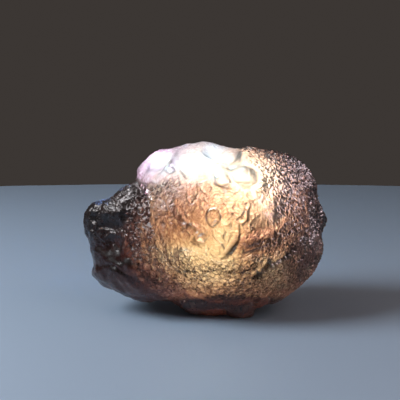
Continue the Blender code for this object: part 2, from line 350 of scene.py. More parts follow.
@dataclass(frozen=True)
class PitField:
    """Etched pits thrown at random over a part of the skin.

    Args:
        zone: The part of the skin that it lies on.
        count: How many pits it has for each thousand square millimetres.
        width: Smallest and largest half-width.
        stretch: Smallest and largest length for each unit of width.
        depth: Depth for each unit of half-width.
        rim: Height of the rim for each unit of depth.
        swing: How much the pits turn from the way that they run, in radians.
        shade: How dark the painted shade at the bottom of the darkest pit is.
        seed: Seed of the random draws.
        outline: Depth of the line around a bubble, in millimetres; a plain pit has none.
        outline_width: Half-width of that line, in millimetres.
        rim_line: How far out a rim stands, and how wide it is, for each unit of width.
        palest: Shade of the palest pit, as a share of the darkest one's.
        reach: How far a pit acts, for each unit of length.
    """

    zone: Zone
    count: int
    width: Pair
    stretch: Pair
    depth: float
    rim: float
    swing: float
    shade: float
    seed: int
    outline: float = 0.0
    outline_width: float = 0.16
    rim_line: Pair = (1.15, 0.22)
    palest: float = 0.35
    reach: float = 1.5

    def press(self, skin: Skin, share: np.ndarray, middle: np.ndarray) -> tuple[np.ndarray, np.ndarray]:
        """Throw the pits.

        Args:
            skin: The skin's points.
            share: How much each of them belongs to the field's zone.
            middle: The point that the pits run around.

        Returns:
            The height at each point, in millimetres, and how much painted shade the pits put there, from 0
            to 1.
        """
        rng = np.random.default_rng(self.seed)
        height = np.zeros(len(share))
        shade = np.zeros(len(share))
        count = int(self.count * share.sum() * skin.cell / 1000.0)
        centres = rng.choice(len(share), size=count, p=share / share.sum())
        widths = rng.uniform(*self.width, size=count)
        lengths = widths * rng.uniform(*self.stretch, size=count)
        swings = rng.normal(0.0, self.swing, size=count)
        tones = rng.uniform(self.palest, 1.0, size=count) * self.shade
        for centre, width, length, swing, tone in zip(centres, widths, lengths, swings, tones):
            place = skin.points[centre]
            along, aside = self.axes(skin.facing[centre], place - middle, swing)
            near = np.array([hit[1] for hit in skin.tree.find_range(place, length * self.reach)])
            step = skin.points[near] - place
            distance = np.hypot(step @ along / length, step @ aside / width)
            rise, dark = self.mark(distance, step @ aside, width)
            height[near] += rise
            shade[near] = np.maximum(shade[near], tone * dark)
        return height * share, shade * share

    @staticmethod
    def axes(normal: np.ndarray, out: np.ndarray, swing: float) -> tuple[np.ndarray, np.ndarray]:
        """Turn one pit.

        Args:
            normal: The skin's normal there.
            out: The way from the point that the pits run around.
            swing: How far the pit turns from the way that they run, in radians.

        Returns:
            The directions along and across the pit.
        """
        along = np.cross(normal, out)
        along /= max(np.linalg.norm(along), TINY)
        aside = np.cross(normal, along)
        return (along * math.cos(swing) + aside * math.sin(swing),
                aside * math.cos(swing) - along * math.sin(swing))

    def mark(self, distance: np.ndarray, aside: np.ndarray, width: float) -> tuple[np.ndarray, np.ndarray]:
        """Shape one pit or bubble.

        Args:
            distance: How far out each point lies: 0 in the pit's middle and 1 on its edge.
            aside: How far each point lies to one side, in millimetres.
            width: The pit's half-width.

        Returns:
            How far it moves each point outwards, in millimetres, and how much painted shade it puts there.
        """
        dish = np.clip(1.0 - distance ** 2, 0.0, 1.0)
        if self.outline > 0.0:
            # A bubble's outline is painted shade, darkest on one side.
            one_sided = 0.5 + 0.5 * aside / (distance * width + TINY)
            line = bell((distance - 1.0) * width, 0.0, self.outline_width) * one_sided
            return self.depth * dish - self.outline * line, line
        return self.depth * width * (self.rim * bell(distance, *self.rim_line) - dish), dish


@dataclass(frozen=True)
class NodeKit:
    """Adds and links the nodes of one material.

    Args:
        tree: The material's node tree.
    """

    tree: bpy.types.NodeTree

    def put(self, node: bpy.types.Node, inputs: dict[str | int, object]) -> None:
        """Set a node's inputs to plain values, or link them to sockets.

        Args:
            node: The node.
            inputs: A plain value or a socket for each input, by name or number.
        """
        for name, value in inputs.items():
            if isinstance(value, bpy.types.NodeSocket):
                self.tree.links.new(value, node.inputs[name])
            else:
                node.inputs[name].default_value = value

    def add(self, kind: str, inputs: dict[str | int, object], **settings: str) -> bpy.types.Node:
        """Add a node.

        Args:
            kind: Its type, without the words that all types start with.
            inputs: A plain value or a socket for each input, by name or number.
            settings: The node's own options.

        Returns:
            The node.
        """
        node = self.tree.nodes.new("ShaderNode" + kind)
        for name, value in settings.items():
            setattr(node, name, value)
        self.put(node, inputs)
        return node

    def read(self, name: str, output: str = "Fac") -> bpy.types.NodeSocket:
        """Return a socket that reads one of the mesh's own values."""
        return self.add("Attribute", {}, attribute_name=name).outputs[output]

    def remap(self, value: bpy.types.NodeSocket, start: Pair, end: Pair) -> bpy.types.NodeSocket:
        """Return a socket that turns the range start of a value into the range end."""
        return self.add("MapRange", {"Value": value, "From Min": start[0], "From Max": start[1],
                                     "To Min": end[0], "To Max": end[1]}).outputs["Result"]

    def count(self, operation: str, *inputs: float | bpy.types.NodeSocket) -> bpy.types.NodeSocket:
        """Return a socket with the result of one sum on values or sockets."""
        return self.add("Math", dict(enumerate(inputs)), operation=operation).outputs["Value"]

    def tint(self, share: bpy.types.NodeSocket, under: bpy.types.NodeSocket,
             over: Colour) -> bpy.types.NodeSocket:
        """Return a socket that goes from the colour under to the colour over with the share."""
        return self.add("Mix", {"Factor": share, "A": under, "B": (*over, 1.0)},
                        data_type="RGBA").outputs["Result"]


@dataclass(frozen=True)
class GlassFinish:
    """Brown tektite glass: translucent, matt in its pits and paler where it is thin.

    Args:
        name: The material's name.
        clear: Tint of the glass that lets the most light through.
        honey: Tint of its thinnest crust and painted shade.
        brown: Tint of its thin crust and painted shade.
        umber: Tint of its thicker crust and painted shade.
        edge: Tint of its thickest crust and painted shade.
        stops: How thick the crust and its painted shade are where it is honey, brown and umber.
        dark: Tint of the wing and the foot.
        painted_hollow_shade: Tint of the painted shade in the bottoms of pits and grooves, and in the gaps
            between scales.
        roughness: Lowest and highest roughness of the skin.
        frost: Roughness that full frost adds.
        transmission: Share of the light that passes through the skin.
        ior: Refractive index of the glass.
        gloss: Weight and roughness of the clean glass over the etched skin.
        absorption_colour: What the glass leaves of white light.
        absorption_density: How soon it does so.
        streaks: Scale and detail of the streaks along the rings.
        grain: Scale and detail of the finest grain.
        scales: Size of the etched scales, as the pattern's own scale.
        scale_bend: How much the streaks bend the scales.
        gap: How wide the gaps between the scales are, for each unit of their size.
        painted_highlight_reach: How far in from its gap a scale's crust begins to thin for a painted
            highlight on its top, and is thinnest.
        painted_highlight_crust: How much crust is left under that painted highlight.
        dirt: The lowest and highest value of the streaks that count for the crust.
        dirt_share: How much crust there is at those.
        bump: Strength of the bump, and its height in metres.
        gap_bump: How much the gaps add to the bump.
    """

    name: str = "tektite_glass"
    clear: Colour = (0.97, 0.93, 0.86)
    honey: Colour = (0.6, 0.41, 0.33)
    brown: Colour = (0.32, 0.15, 0.12)
    umber: Colour = (0.14, 0.05, 0.044)
    edge: Colour = (0.02, 0.0065, 0.006)
    stops: tuple[float, float, float] = (0.25, 0.5, 0.75)
    dark: Colour = (0.006, 0.0011, 0.0009)
    painted_hollow_shade: Colour = (0.003, 0.001, 0.0008)
    roughness: Pair = (0.2, 0.38)
    frost: float = 0.35
    transmission: float = 0.95
    ior: float = 1.5
    gloss: Pair = (0.23, 0.22)
    absorption_colour: Colour = (0.5, 0.35, 0.08)
    absorption_density: float = 80.0
    streaks: Pair = (2.0, 3.0)
    grain: Pair = (2200.0, 4.0)
    scales: float = 0.85
    scale_bend: float = 0.35
    gap: float = 0.19
    painted_highlight_reach: Pair = (0.12, 0.4)
    painted_highlight_crust: float = 0.36
    dirt: Pair = (0.35, 0.65)
    dirt_share: Pair = (0.65, 1.15)
    bump: Pair = (0.85, 0.0002)
    gap_bump: float = -0.35

    def build(self) -> bpy.types.Material:
        """Make the material.

        Returns:
            A material with transmission, absorption and an etched crust tint that holds painted light and
            shade.
        """
        material = bpy.data.materials.new(self.name)
        material.use_nodes = True
        kit = NodeKit(material.node_tree)
        swirl = kit.read("swirl", "Vector")
        streaks = kit.add("TexNoise", {"Vector": swirl, "Scale": self.streaks[0], "Detail": self.streaks[1]})
        distance = self.scale_distance(kit, swirl, streaks.outputs["Color"])
        gaps = kit.remap(distance, (0.0, self.gap), (1.0, 0.0))
        absorb = kit.add("VolumeAbsorption", {"Color": (*self.absorption_colour, 1.0),
                                              "Density": self.absorption_density})
        kit.put(kit.tree.nodes["Principled BSDF"], {
            "IOR": self.ior,
            "Transmission Weight": self.transmission,
            "Coat Weight": self.gloss[0],
            "Coat Roughness": self.gloss[1],
            "Base Color": self.colour(kit, streaks.outputs["Fac"], distance, gaps),
            "Roughness": self.mattness(kit),
            "Normal": self.relief(kit, streaks.outputs["Fac"], gaps),
        })
        kit.put(kit.tree.nodes["Material Output"], {"Volume": absorb.outputs["Volume"]})
        return material

    def scale_distance(self, kit: NodeKit, swirl: bpy.types.NodeSocket,
                       bend: bpy.types.NodeSocket) -> bpy.types.NodeSocket:
        """Lay out the etched scales.

        Args:
            kit: The material's nodes.
            swirl: The place along the rings.
            bend: What bends the scales.

        Returns:
            A socket with each point's distance from the edge of its scale.
        """
        bent = kit.add("Mix", {"Factor": self.scale_bend, "A": swirl, "B": bend}, data_type="VECTOR")
        scales = kit.add("TexVoronoi", {"Vector": bent.outputs["Result"], "Scale": self.scales},
                         feature="DISTANCE_TO_EDGE")
        return scales.outputs["Distance"]

    def colour(self, kit: NodeKit, streaks: bpy.types.NodeSocket, distance: bpy.types.NodeSocket,
               gaps: bpy.types.NodeSocket) -> bpy.types.NodeSocket:
        """Tint the skin, from clear glass to the painted shade at the bottoms of the pits.

        Args:
            kit: The material's nodes.
            streaks: The streaks along the rings.
            distance: The distance from the edge of the etched scale.
            gaps: How much each point lies in a gap between scales.

        Returns:
            A socket with the tint.
        """
        dirt = kit.remap(streaks, self.dirt, self.dirt_share)
        # The crust tint holds painted light and shade: clear in the middle, darker towards the edges.
        crust_and_painted_shade = kit.count("MULTIPLY", dirt, kit.read("crust_and_painted_shade"))
        # Painted highlight: the crust thins on the top of each scale.
        painted_highlights = kit.remap(distance, self.painted_highlight_reach, (1.0, self.painted_highlight_crust))
        body = kit.add("ValToRGB", {"Fac": kit.count("MULTIPLY", crust_and_painted_shade, painted_highlights)})
        elements = body.color_ramp.elements
        elements[0].color = (*self.clear, 1.0)
        elements[1].color = (*self.edge, 1.0)
        for stop, tint in zip(self.stops, (self.honey, self.brown, self.umber)):
            elements.new(stop).color = (*tint, 1.0)
        winged = kit.tint(kit.read("wing"), body.outputs["Color"], self.dark)
        # Painted shade in the gaps between scales, and in the pits and grooves.
        painted_crevice_shade = kit.count("MULTIPLY", gaps, kit.read("etched"))
        return kit.tint(kit.count("MAXIMUM", painted_crevice_shade, kit.read("painted_hollow_shade")), winged, self.painted_hollow_shade)

    def mattness(self, kit: NodeKit) -> bpy.types.NodeSocket:
        """Roughen the skin by its finest grain, and by the frost on top of that.

        Args:
            kit: The material's nodes.

        Returns:
            A socket with the roughness.
        """
        place = kit.add("TexCoord", {}).outputs["Object"]
        grain = kit.add("TexNoise", {"Vector": place, "Scale": self.grain[0], "Detail": self.grain[1]})
        rough = kit.remap(grain.outputs["Fac"], (0.0, 1.0), self.roughness)
        return kit.count("MULTIPLY_ADD", kit.read("frost"), self.frost, rough)

    def relief(self, kit: NodeKit, streaks: bpy.types.NodeSocket,
               gaps: bpy.types.NodeSocket) -> bpy.types.NodeSocket:
        """Raise the finest relief of the etched skin.

        Args:
            kit: The material's nodes.
            streaks: The streaks along the rings.
            gaps: How much each point lies in a gap between scales.

        Returns:
            A socket with the bumped normal.
        """
        height = kit.count("MULTIPLY_ADD", gaps, self.gap_bump, streaks)
        worn = kit.count("MULTIPLY", height, kit.read("etched"))
        bump = kit.add("Bump", {"Strength": self.bump[0], "Distance": self.bump[1], "Height": worn})
        return bump.outputs["Normal"]


@dataclass(frozen=True)
class FrontRelief:
    """The features that are drawn on the stone's front, in the sketch's x and v.

    Args:
        dishes: Hollows and lumps.
        strokes: Grooves, ridges and ledges.
        front: How far a normal turns to the viewer where the features begin and are full.
    """

    dishes: dict[str, Dish] = field(default_factory=lambda: {
        "crater_floor": Dish((0.2, 3.2), (1.4, 1.8), -0.25, steep=3.0),
        "thumb_floor": Dish((2.2, -1.0), (2.8, 3.8), -0.42, turn=-20, steep=3.0),
        "thumb_heel": Dish((1.1, -2.6), (1.3, 1.5), 0.14),
        "thumb_crown": Dish((3.1, 0.2), (1.7, 2.2), -0.16, turn=-10),
        "bean_bump": Dish((-2.1, -0.6), (1.15, 0.75), -0.15),
        "loop_bump": Dish((-5.2, 1.8), (0.7, 0.6), -0.14, turn=30),
        "temple_bump": Dish((-10.6, 5.4), (2.2, 1.8), -0.22),
        "small_bump": Dish((-4.1, 7.0), (0.8, 0.8), -0.12),
        "brow_bump": Dish((2.7, 7.6), (1.0, 0.9), -0.12),
        "cheek_plate": Dish((4.6, 5.3), (1.3, 1.6), -0.14, turn=-20),
        "cheek_lump": Dish((5.5, 3.2), (1.3, 1.0), -0.1),
        "pin_ring": Dish((7.5, 1.1), (0.45, 0.45), 0.12, rim=0.05, steep=4.0, shade=0.5),
        "dark_pit": Dish((8.9, -8.2), (1.2, 0.8), 0.35, turn=20, steep=3.0, shade=0.95),
        "crown_dish": Dish((6.6, 11.7), (2.3, 1.8), 0.12, steep=4.0),
        "crown_cup": Dish((2.2, 10.7), (1.8, 1.2), 0.2, steep=4.0),
        "crown_slot": Dish((7.6, 12.4), (0.32, 1.0), 0.12, steep=3.0, shade=0.6),
        "temple_spot": Dish((-9.6, 2.1), (0.6, 0.5), 0.2, shade=0.9),
        "wing_dimple": Dish((-21.5, -3.2), (1.6, 1.2), 0.15, turn=20),
        "wing_nick": Dish((-18.8, -5.6), (1.2, 0.7), 0.12, turn=-30),
    })
    strokes: dict[str, Stroke] = field(default_factory=lambda: {
        "crater_ring": Stroke((
            (0.1, 4.9), (1.0, 4.5), (1.4, 3.4), (1.1, 2.2), (0.1, 1.5), (-0.7, 2.2), (-1.0, 3.4),
            (-0.7, 4.4),
        ), 0.22, 0.28, closed=True, shade=0.85),
        "crater_ridge": Stroke(((-0.7, 3.0), (0.1, 2.9), (1.0, 3.2)), 0.16, -0.07, shade=0.3),
        "plate_edge": Stroke((
            (-7.5, 6.4), (-7.1, 5.0), (-6.3, 3.8), (-5.7, 2.8), (-4.7, 2.0), (-3.5, 1.3), (-2.6, 0.7),
            (-1.4, 0.7), (-0.6, 0.9),
        ), 0.36, 0.2, step=0.25, shade=0.9),
        "small_loop": Stroke(((-6.1, 2.8), (-5.9, 1.6), (-5.1, 1.1), (-4.3, 1.5)), 0.18, 0.2, shade=0.8),
        "bean_shadow": Stroke((
            (-3.3, 0.4), (-3.4, -0.9), (-2.6, -1.6), (-1.6, -1.6), (-0.9, -0.9),
        ), 0.24, 0.15, shade=0.9),
        "thumb_rim": Stroke(((4.6, 2.9), (5.1, 1.5), (5.15, 0.3), (4.9, -0.7)), 0.16, 0.16, shade=0.7),
        "crescent": Stroke((
            (4.9, 0.3), (4.8, -0.8), (4.3, -1.9), (3.4, -3.0), (2.5, -3.9), (1.6, -4.8),
        ), 0.5, 0.5, shade=1.0),
        "thumb_fold": Stroke((
            (0.1, 0.9), (0.4, -0.5), (1.1, -1.2), (1.9, -2.2), (2.6, -3.0),
        ), 0.16, 0.14, shade=0.65),
        "heel_rim": Stroke((
            (0.3, -1.3), (-0.3, -2.4), (-0.4, -3.3), (0.6, -4.3), (1.8, -4.6),
        ), 0.18, 0.1, shade=0.4),
        "cheek_furrow": Stroke((
            (5.2, -2.4), (6.7, -2.1), (8.1, -1.9), (9.5, -1.6), (11.4, -0.9), (13.6, 0.7),
        ), 0.9, 0.05, shade=0.6),
        "cheek_hem": Stroke((
            (4.6, -2.9), (6.5, -3.3), (8.1, -2.8), (9.7, -2.2), (11.6, -1.6),
        ), 0.22, 0.2, shade=0.8),
        "loop_line": Stroke(((-5.0, 7.9), (-4.8, 6.7), (-4.1, 6.0), (-3.3, 6.7)), 0.16, 0.16, shade=0.75),
        "brow_arc": Stroke(((1.6, 7.9), (2.3, 6.7), (3.1, 6.7), (3.8, 7.8)), 0.15, 0.14, shade=0.6),
        "plate_ring": Stroke((
            (4.6, 6.9), (3.5, 5.0), (4.0, 3.9), (5.0, 3.5), (5.9, 4.2), (6.2, 5.9),
        ), 0.16, 0.14, shade=0.6),
        "cheek_line": Stroke((
            (3.8, 3.3), (4.8, 2.4), (5.9, 2.2), (6.7, 3.0), (6.8, 4.4), (7.3, 5.9),
        ), 0.18, 0.2, shade=0.75),
        "hair_crack": Stroke((
            (0.9, 8.2), (1.9, 6.9), (2.7, 5.5), (3.2, 4.4), (4.1, 3.2),
        ), 0.12, 0.12, shade=0.6),
        "nose_arc": Stroke(((-1.7, 7.7), (-1.2, 6.5), (-0.3, 5.9)), 0.14, 0.14, shade=0.55),
        "nose_tick": Stroke(((-2.5, 5.6), (-1.9, 5.2), (-1.5, 4.3)), 0.16, 0.16, shade=0.7),
        "temple_tick": Stroke(((-10.3, 0.8), (-9.9, -0.6), (-9.2, -1.6)), 0.22, 0.24, shade=0.85),
        "temple_rim": Stroke(((-12.0, 7.0), (-10.4, 7.2), (-9.0, 5.8), (-8.7, 3.9)), 0.2, 0.2, shade=0.7),
        "jowl_tick": Stroke(((-8.9, -2.0), (-8.9, -3.4), (-8.3, -4.5)), 0.22, 0.22, shade=0.8),
        "jowl_arc": Stroke(((-6.1, -2.4), (-5.8, -3.4), (-5.2, -4.0)), 0.18, 0.18, shade=0.7),
        "chin_arc": Stroke(((-5.0, -2.1), (-3.9, -1.5), (-2.9, -2.2)), 0.16, 0.16, shade=0.65),
        "upper_line": Stroke(((-6.9, 12.7), (-6.5, 10.8), (-5.8, 9.4)), 0.18, 0.18, shade=0.75),
        "cone_line": Stroke(((-2.8, 9.4), (-1.7, 10.3), (-0.6, 10.6)), 0.18, 0.16, shade=0.7),
        "jaw_furrow": Stroke((
            (8.8, -7.7), (10.7, -6.0), (12.7, -5.5), (14.8, -4.3), (16.5, -2.7), (18.0, -0.5),
        ), 0.36, 0.25, shade=0.9),
        "crown_crack": Stroke((
            (-2.5, 17.6), (-1.4, 16.4), (-0.5, 15.8), (0.6, 15.2),
        ), 0.26, 0.25, shade=1.0),
        "crown_ledge": Stroke((
            (0.6, 15.5), (1.6, 14.0), (2.2, 13.4), (3.2, 13.0), (4.0, 12.8), (4.8, 13.2), (5.6, 13.8),
            (6.6, 14.1),
        ), 0.4, 0.25, step=-0.2, shade=1.0),
        "crown_wall": Stroke(((7.4, 18.8), (6.1, 16.6), (5.5, 15.2), (5.2, 13.8)), 0.24, 0.08, shade=0.35),
        "crown_dish_rim": Stroke((
            (4.2, 11.0), (5.5, 9.9), (6.6, 9.6), (7.9, 10.0), (9.1, 11.0),
        ), 0.34, 0.25, shade=1.0),
        "crown_cup_rim": Stroke((
            (0.0, 10.1), (1.3, 9.7), (2.5, 9.2), (3.3, 9.4), (4.1, 10.4),
        ), 0.34, 0.25, shade=1.0),
        "crown_mark": Stroke(((0.3, 12.5), (0.9, 11.3), (1.6, 12.1)), 0.34, 0.22, shade=1.0),
        "crown_crease": Stroke((
            (-11.9, 10.2), (-10.5, 12.1), (-9.5, 13.3), (-8.4, 14.1), (-8.1, 14.9), (-7.7, 16.1),
            (-7.0, 17.6),
        ), 0.3, -0.2, step=0.25, shade=0.95),
        "knob_ring": Stroke((
            (-9.3, 13.1), (-8.6, 13.8), (-7.8, 13.7), (-7.5, 13.1), (-8.1, 12.5), (-8.8, 12.6),
        ), 0.28, 0.2, closed=True, shade=1.0),
        "facet_crease": Stroke((
            (-15.0, 11.2), (-13.2, 13.2), (-12.6, 14.8), (-11.0, 16.4),
        ), 0.3, 0.2, step=0.25, shade=0.8),
        "facet_foot": Stroke((
            (-14.6, 9.6), (-12.6, 10.8), (-11.4, 10.4), (-10.0, 11.4),
        ), 0.3, 0.15, shade=0.7),
        "crown_tick": Stroke((
            (-6.9, 14.2), (-6.2, 12.9), (-5.6, 12.0), (-5.0, 11.2), (-4.4, 11.9),
        ), 0.26, 0.2, shade=1.0),
        "valley": Stroke((
            (-16.0, 11.4), (-14.7, 9.3), (-13.5, 7.6), (-12.9, 6.0), (-12.7, 3.9), (-12.0, 1.4),
        ), 0.5, 0.4, shade=0.9),
        "wing_fold": Stroke(((-24.2, 2.4), (-21.8, 1.5), (-19.6, 1.3), (-16.6, 2.0)), 0.5, 0.2),
        "wing_crease": Stroke(((-23.6, -6.6), (-20.6, -6.2), (-17.6, -8.0), (-13.8, -9.6)), 0.4, 0.25),
        "wing_rib": Stroke(((-22.4, -1.0), (-20.5, 0.2), (-18.6, -0.5)), 0.3, -0.25, shade=0.0),
    })
    front: Pair = (0.05, 0.3)

    def press(self, skin: Skin) -> tuple[np.ndarray, np.ndarray]:
        """Press every drawn feature into the front.

        Args:
            skin: The skin's points.

        Returns:
            The height at each point, in millimetres, and how much painted shade the features put there, from
            0 to 1.
        """
        x, v = skin.points[:, 0], skin.points[:, 1]
        front = ramp(skin.facing[:, 2], *self.front)
        height = np.zeros(len(x))
        shade = np.zeros(len(x))
        for feature in (*self.dishes.values(), *self.strokes.values()):
            rise, dark = feature.press(x, v)
            height += rise
            shade = np.maximum(shade, dark)
        return height * front, shade * front


@dataclass(frozen=True)
class SkinMap:
    """Where each kind of skin lies, in the sketch's x and v.

    Args:
        dome: The main lobe.
        calm: The smoother part of the front.
        crown: The smooth faces of the crown: its top, the dish beside it and its left facet.
        clean_painted_glow: The glass with less crust than the rest, where the clearness is partly a painted
            glow.
        window: The place on the back that has no crust.
        soft: The upper right of the front, whose skin is the mattest.
        front: How far a normal turns to the viewer where the front's textures begin and are full.
        crust_and_shade_front: The same for the front's crust and its painted light and shade.
        lobe_line: How far out of the main lobe the foot's texture begins and is full.
        foot_top: The v at which it begins and is full.
        foot_side: The x at which it begins and is full.
        wing_edge: Where the wing begins, as pairs of v and x.
        wing_blend: Half-width of the change to the wing's texture.
        wing_shelf: The v at which the wing's upper, rougher part begins and is full.
        wing_least: How much of the wing's texture there is below it.
        dark_blend: Half-width of the change to the wing's tint.
        dark_foot: The v at which the foot's tint begins and is full.
        dark_foot_middle: The x at which it reaches highest.
        dark_foot_slope: How much lower it begins for each millimetre to the side of that.
        least_crust_and_shade: How thick the crust and its painted shade are on the clear glass, where the
            painted glow is.
        painted_glow_line: How far out of the clear glass the crust and its painted shade begin to thicken,
            and are full.
        patches: Where the crust and its painted shade are thicker, or thinner to paint light.
    """

    dome: Ellipse = Ellipse((4.3, 2.6), (17.4, 15.9))
    calm: Ellipse = Ellipse((1.3, 3.8), (12.0, 8.6), (1.25, 0.7))
    crown: tuple[Ellipse, ...] = (
        Ellipse((-2.2, 15.3), (9.4, 5.4)),
        Ellipse((7.0, 11.6), (2.9, 2.6)),
        Ellipse((-11.8, 13.8), (4.8, 3.6)),
    )
    clean_painted_glow: Ellipse = Ellipse((2.5, 6.5), (17.0, 18.0))
    window: Ellipse = Ellipse((3.0, 3.0), (11.0, 10.0), (1.2, 0.7))
    soft: Ellipse = Ellipse((13.5, 9.5), (8.0, 8.5), (1.2, 0.6))
    front: Pair = (-0.1, 0.25)
    crust_and_shade_front: Pair = (-0.1, 0.2)
    lobe_line: Pair = (0.97, 1.05)
    foot_top: Pair = (-10.5, -12.5)
    foot_side: Pair = (-12.0, -9.0)
    wing_edge: tuple[Pair, ...] = ((-15.0, -4.0), (-13.0, -9.5), (-9.0, -14.3), (-4.6, -16.6),
                                   (0.0, -17.6), (4.0, -16.4), (8.5, -14.2), (11.0, -14.6))
    wing_blend: float = 0.9
    wing_shelf: Pair = (-4.5, 1.5)
    wing_least: float = 0.15
    dark_blend: float = 1.4
    dark_foot: Pair = (-10.6, -12.8)
    dark_foot_middle: float = 4.0
    dark_foot_slope: float = 0.1
    least_crust_and_shade: float = 0.22
    painted_glow_line: Pair = (0.3, 1.05)
    patches: dict[str, Patch] = field(default_factory=lambda: {
        "temple": Patch((-5.2, 5.0), (5.5, 5.4), 0.45),
        "forehead": Patch((-1.0, 9.2), (5.0, 2.2), 0.22),
        "temple_side": Patch((-12.5, 6.0), (2.5, 4.5), -0.25),
        "chin": Patch((-3.8, -8.0), (9.5, 5.4), -0.85),
        "lip": Patch((-5.5, -3.6), (6.0, 2.0), -0.35),
        "left_cheek": Patch((-12.2, -5.0), (4.2, 5.5), -0.45),
        "heart": Patch((3.5, 5.5), (5.5, 4.2), 0.25),
        "cheek": Patch((8.2, -1.7), (4.8, 2.4), 0.75),
        "right_jaw": Patch((12.8, -7.5), (8.0, 5.2), -0.7),
        "jaw": Patch((7.0, -6.8), (2.6, 3.0), 0.3),
        "brow": Patch((12.5, 12.5), (6.0, 5.0), -0.42),
        "crown": Patch((-1.0, 14.5), (9.0, 3.6), -0.5),
        "facet": Patch((-11.5, 14.0), (4.6, 3.6), -0.8),
        "knob": Patch((-8.3, 11.3), (2.8, 2.0), 0.35),
        "thumb": Patch((3.2, -0.6), (2.4, 2.8), -0.35),
        "dish": Patch((6.0, 11.5), (4.0, 2.0), -0.3),
        "right_rim": Patch((22.0, -4.5), (5.0, 8.0), 0.55),
        "jowl": Patch((-12.0, -9.5), (6.5, 3.8), 0.45),
    })

    def middle(self) -> np.ndarray:
        """Return the point in the main lobe that its rings run around."""
        return np.array((*self.dome.centre, 0.0))

    def past_wing(self, x: np.ndarray, v: np.ndarray) -> np.ndarray:
        """Return how far each point lies to the right of the wing's edge, in millimetres."""
        edge_v, edge_x = np.array(self.wing_edge).T
        return x - np.interp(v, edge_v, edge_x)

    def zones(self, skin: Skin) -> dict[Zone, np.ndarray]:
        """Share the skin out among its textures.

        Args:
            skin: The skin's points.

        Returns:
            How much each point belongs to each zone, from 0 to 1.
        """
        x, v = skin.points[:, 0], skin.points[:, 1]
        front = ramp(skin.facing[:, 2], *self.front)
        crown = front * np.max([face.cover(x, v) for face in self.crown], axis=0)
        calm = front * self.calm.cover(x, v) * (1.0 - crown)
        foot = (front * ramp(self.dome.reach(x, v), *self.lobe_line) * ramp(v, *self.foot_top)
                * ramp(x, *self.foot_side))
        wing = ramp(self.past_wing(x, v), self.wing_blend, -self.wing_blend) * (1.0 - foot)
        rings = (1.0 - calm) * (1.0 - crown) * (1.0 - wing) * (1.0 - foot)
        wing *= self.wing_least + (1.0 - self.wing_least) * ramp(v, *self.wing_shelf)
        return {Zone.CALM: calm, Zone.CROWN: crown, Zone.RINGS: rings, Zone.WING: wing, Zone.FOOT: foot}

    def darkness(self, skin: Skin) -> np.ndarray:
        """Find the dark wing and foot.

        Args:
            skin: The skin's points.

        Returns:
            How much each point belongs to one of them, from 0 to 1.
        """
        x, v = skin.points[:, 0], skin.points[:, 1]
        wing = ramp(self.past_wing(x, v), self.dark_blend, -self.dark_blend)
        foot = ramp(v + self.dark_foot_slope * np.abs(x - self.dark_foot_middle), *self.dark_foot)
        return np.maximum(wing, foot)

    def crust_and_painted_shade(self, skin: Skin) -> np.ndarray:
        """Lay the brown etched crust on the skin, with painted light in the middle and painted shade towards
        the edges.

        Args:
            skin: The skin's points.

        Returns:
            How thick it is at each point, from 0 where there is none to 1.
        """
        x, v = skin.points[:, 0], skin.points[:, 1]
        begin, full = self.painted_glow_line
        rise = np.clip((self.clean_painted_glow.reach(x, v) - begin) / (full - begin), 0.0, 1.0)
        front = ramp(skin.facing[:, 2], *self.crust_and_shade_front)
        crust_and_painted_shade = self.least_crust_and_shade + (1.0 - self.least_crust_and_shade) * rise
        crust_and_painted_shade *= 1.0 - self.window.cover(x, v) * (1.0 - front)
        # Each patch adds painted shade, or takes it away as painted light.
        for patch in self.patches.values():
            crust_and_painted_shade += front * patch.spread(x, v)
        return np.clip(crust_and_painted_shade, 0.0, 1.0)


